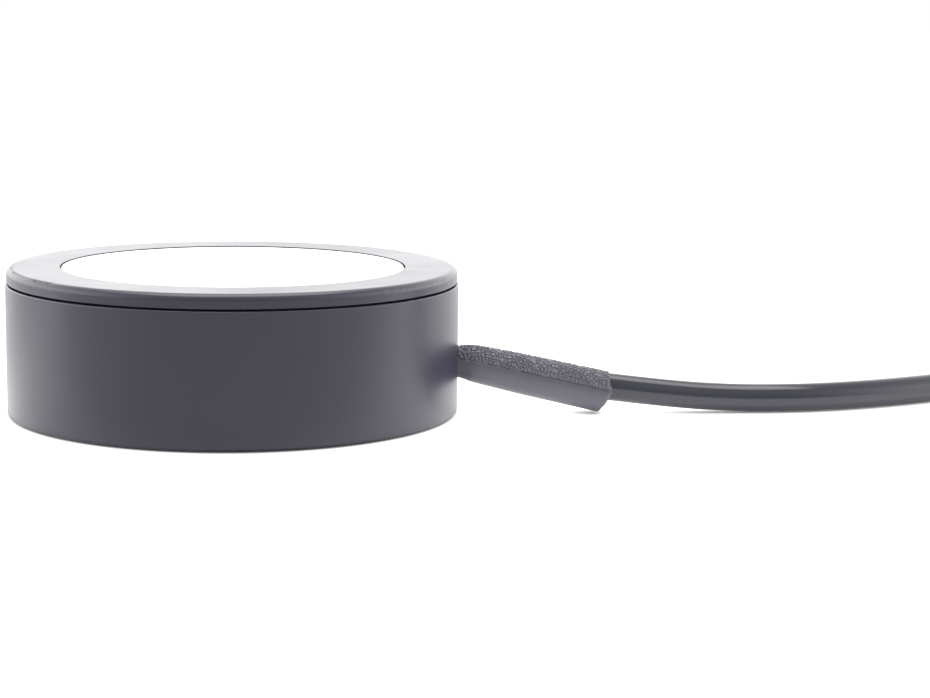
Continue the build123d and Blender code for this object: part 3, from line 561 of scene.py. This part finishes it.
stations += [
    (t, half_wide - c - w, half_tall - 0.4 * w, block_corner)
    for t, c, w in zip(rib_along, rib_cut, waist)
]
for bend in np.linspace(0, math.pi / 2, 7):
    cut = block_round * (1 - math.cos(bend))
    t = plug_length - block_round + block_round * math.sin(bend)
    stations.append((t, half_wide - cut, half_tall - cut, block_corner - cut))
stations.append((plug_length, 3.0, 1.5, 1.0))
overmould_pvc = moulded("matt_overmoulded_pvc", "#2b2b31", 0.5, 0.25, 0.03, ior=1.52)
plug_body = capped_tube("plug_body", plug_rings(stations), overmould_pvc)
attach(plug_body, "housing")
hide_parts("plug_overmold")

patch_scale = 160.0


def rolled_metal(name, code, rough, streak_mm, depth_mm):
    """A rolled or drawn sheet metal: a full mirror colour broken by streaks at a width in
    millimetres, and by duller patches of about 6 mm where it was handled."""
    made, tree, shader = new_material(name)
    where = add_node(tree, "ShaderNodeTexCoord").outputs["Object"]
    stretched = add_node(tree, "ShaderNodeMapping", {"Scale": (0.12, 1.0, 1.0)}, {"Vector": where})
    streak = add_node(
        tree, "ShaderNodeTexNoise", {"Scale": 1 / (streak_mm * MM), "Detail": 4.0},
        {"Vector": stretched.outputs["Vector"]},
    )
    patch = add_node(tree, "ShaderNodeTexNoise", {"Scale": patch_scale, "Detail": 3.0}, {"Vector": where})
    gloss = add_node(
        tree, "ShaderNodeMapRange", {"To Min": rough - 0.08, "To Max": rough + 0.1},
        {"Value": patch.outputs["Fac"]},
    )
    tint = add_node(tree, "ShaderNodeValToRGB", links={"Fac": patch.outputs["Fac"]})
    base = linear(code)
    for stop, share in zip(tint.color_ramp.elements, (0.86, 1.0)):
        stop.color = (*[c * share for c in base[:3]], 1.0)
    bump = add_node(
        tree, "ShaderNodeBump", {"Strength": 0.4, "Distance": depth_mm * MM},
        {"Height": streak.outputs["Fac"]},
    )
    tree.links.new(gloss.outputs["Result"], shader.inputs["Roughness"])
    tree.links.new(tint.outputs["Color"], shader.inputs["Base Color"])
    tree.links.new(bump.outputs["Normal"], shader.inputs["Normal"])
    shader.inputs["Metallic"].default_value = 1.0
    return made


# Nickel plate is a warm, slightly yellow silver. The insert is a stiff, faintly shiny black.
dress(rolled_metal("nickel_plated_steel", "#c9c6bf", 0.24, 0.08, 0.01), "plug_shell")
dress(moulded("glass_filled_lcp", "#1b1b1e", 0.42, 0.1, 0.01, ior=1.6), "plug_insert", "inlet_tongue")

# ---- Video cord ----------------------------------------------------------------------------------
# A round four-millimetre lead in dark blue-grey TPE, extruded smooth. It leaves the boot, sinks to
# the tabletop and swings away to the rear, where its plug lies.
cord_diameter = 4.0 * MM
cord_route_mm = [
    (51.8, 0.0, 4.05),
    (61.6, 0.7, 2.85),
    (71.4, 1.9, 2.1),
    (80.6, 2.6, 2.1),
    (88.8, 5.2, 2.1),
    (97.8, 9.6, 2.1),
    (107.0, 15.4, 2.1),
    (116.2, 20.8, 2.1),
    (125.4, 25.6, 3.1),
    (134.0, 29.2, 5.0),
]
cord_curve = bpy.data.curves.new("video_lead", "CURVE")
cord_curve.dimensions = "3D"
cord_curve.bevel_depth = cord_diameter / 2
cord_curve.bevel_resolution = 10
cord_curve.use_fill_caps = True
cord_line = cord_curve.splines.new("NURBS")
cord_line.points.add(len(cord_route_mm) - 1)
for point, place in zip(cord_line.points, cord_route_mm):
    point.co = (*[value * MM for value in place], 1.0)
cord_line.order_u = 3
cord_line.use_endpoint_u = True
cord_line.resolution_u = 24
video_lead = bpy.data.objects.new("video_lead", cord_curve)
bpy.context.scene.collection.objects.link(video_lead)

# Extrusion leaves the jacket glossier than a moulding, with slow swells in its gloss.
jacket = moulded("extruded_tpe_jacket", "#282931", 0.16, 0.5, 0.004, ior=1.5, clouding=0.05)
cord_curve.materials.append(jacket)
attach(video_lead, "housing")
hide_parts("video_cord")

# ---- Foot pad ------------------------------------------------------------------------------------
# A die-cut disc of moulded silicone rubber bonded under the case, dull and faintly grainy; it stops
# the body sliding.
dress(moulded("moulded_silicone_rubber", "#232326", 0.75, 0.3, 0.04, ior=1.43), "foot_pad")

# ---- Power inlet and reset -----------------------------------------------------------------------
# A deep-drawn stainless shell round a moulded tongue with twelve gold-plated contacts a side. The
# reset button beside it is moulded with the casing's finish.
dress(rolled_metal("drawn_stainless_steel", "#b9b7b3", 0.28, 0.06, 0.01), "inlet_shell")
gold_plate = rolled_metal("gold_plated_copper", "#e0b25a", 0.22, 0.05, 0.005)
tongue_low, tongue_high = [Vector(corner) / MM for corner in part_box("inlet_tongue")]
contact_count, contact_pitch, contact_width = 12, 0.5, 0.25
contact_length, contact_proud, contact_setback = 2.6, 0.03, 0.5
contact_x = (np.arange(contact_count) - (contact_count - 1) / 2) * contact_pitch
contact_front = tongue_high.y - contact_setback
contact_points, contact_faces = [], []
box_faces = ((0, 1, 3, 2), (4, 6, 7, 5), (0, 4, 5, 1), (2, 3, 7, 6), (0, 2, 6, 4), (1, 5, 7, 3))
for x in contact_x:
    for z in (tongue_low.z, tongue_high.z):
        first = len(contact_points)
        contact_points += [
            ((x + sx * contact_width / 2) * MM, (contact_front - sy * contact_length) * MM,
             (z + sz * contact_proud) * MM)
            for sx in (-1, 1) for sy in (0, 1) for sz in (-1, 1)
        ]
        contact_faces += [tuple(first + k for k in face) for face in box_faces]
inlet_contacts = new_object("inlet_contacts", contact_points, contact_faces, gold_plate, smooth=False)
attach(inlet_contacts, "housing")

# ---- Button mechanism ----------------------------------------------------------------------------
# Acetal carrier and glass-filled frame, natural and slightly waxy, over a spring cut from bright
# rolled strip. The tact switches have a black moulded body and a softer plunger.
dress(
    moulded("natural_acetal", "#d8d7d0", 0.4, 0.3, 0.01, ior=1.48),
    "button_carrier", "top_switch_plunger",
)
dress(moulded("glass_filled_nylon", "#2c2d30", 0.5, 0.2, 0.03), "button_frame", "cord_clamp")
dress(rolled_metal("spring_strip_steel", "#a9abb0", 0.22, 0.05, 0.005), "spring_plate")
dress(
    moulded("switch_housing_nylon", "#1f1f22", 0.45, 0.15, 0.02),
    "top_switch_body", "reset_switch_body",
)
dress(moulded("switch_plunger_nylon", "#6d3b32", 0.45, 0.15, 0.01), "reset_switch_plunger")
dress(
    rolled_metal("zinc_plated_steel", "#9d9c96", 0.34, 0.1, 0.01),
    "cover_screws", "frame_screws", "board_screws", "clamp_screws",
)

# ---- Main board ----------------------------------------------------------------------------------
# Woven glass and epoxy under green solder resist. The resist is glossy, and the copper tracks below
# it show as paler, slightly raised lines, drawn 1.6 mm apart so that they can be seen.
track_spacing, track_rise = 1.6 * MM, 0.03 * MM

board_resist, tree, shader = new_material("solder_resist_on_glass_epoxy")
where = add_node(tree, "ShaderNodeTexCoord").outputs["Object"]
track = add_node(
    tree, "ShaderNodeTexVoronoi",
    {"feature": "F1", "distance": "CHEBYCHEV", "Scale": 1 / track_spacing}, {"Vector": where},
)
line = add_node(
    tree, "ShaderNodeMapRange", {"From Min": 0.36, "From Max": 0.44}, {"Value": track.outputs["Distance"]}
)
tint = add_node(tree, "ShaderNodeValToRGB", links={"Fac": line.outputs["Result"]})
tint.color_ramp.elements[0].color = linear("#123524")
tint.color_ramp.elements[1].color = linear("#1f5a38")
bump = add_node(
    tree, "ShaderNodeBump", {"Strength": 0.6, "Distance": track_rise}, {"Height": line.outputs["Result"]}
)
tree.links.new(tint.outputs["Color"], shader.inputs["Base Color"])
tree.links.new(bump.outputs["Normal"], shader.inputs["Normal"])
shader.inputs["Roughness"].default_value = 0.3
dress(board_resist, "main_board")
dress(
    moulded("epoxy_moulding_compound", "#202124", 0.5, 0.12, 0.02, ior=1.55),
    "processor_chip", "memory_chips", "storage_chip", "power_chip",
)
dress(moulded("sintered_ferrite", "#3b3a3a", 0.6, 0.1, 0.03, ior=1.7), "power_coils")
dress(moulded("barium_titanate_ceramic", "#a58a6c", 0.45, 0.1, 0.01, ior=1.7), "capacitors")
dress(moulded("header_nylon", "#e3dfd2", 0.45, 0.2, 0.01), "cord_header", "cord_connector")

# ---- Shield and heat spreader --------------------------------------------------------------------
# Tin-plated steel folded over the chips, grey silicone pads, and a stamped plate of bare aluminium
# that spreads the heat. The radio module has its own tin can.
dress(
    rolled_metal("tin_plated_steel", "#b7b6b0", 0.36, 0.1, 0.01),
    "shield_fence", "shield_lid", "wireless_module",
)
dress(
    moulded("filled_silicone_pad", "#8b93a3", 0.8, 0.2, 0.03, ior=1.43),
    "processor_thermal_pad", "lid_thermal_pad",
)
dress(rolled_metal("stamped_aluminium", "#c4c6c8", 0.4, 0.15, 0.015), "heat_spreader")

# ---- Antennas and inner leads --------------------------------------------------------------------
# Copper on amber polyimide film, stuck inside the wall, with thin coaxial leads in dull
# fluoropolymer. The cord's jacket is stripped at the clamp and its wires fan out to a connector.
dress(moulded("polyimide_film", "#8a5a1f", 0.35, 0.4, 0.005, ior=1.6), "antennas")
dress(moulded("fluoropolymer_lead", "#46474c", 0.45, 0.3, 0.005, ior=1.4), "antenna_leads")
dress(moulded("wire_insulation_pvc", "#7a2e2b", 0.4, 0.3, 0.005), "inner_wires")
dress(jacket, "inner_jacket")
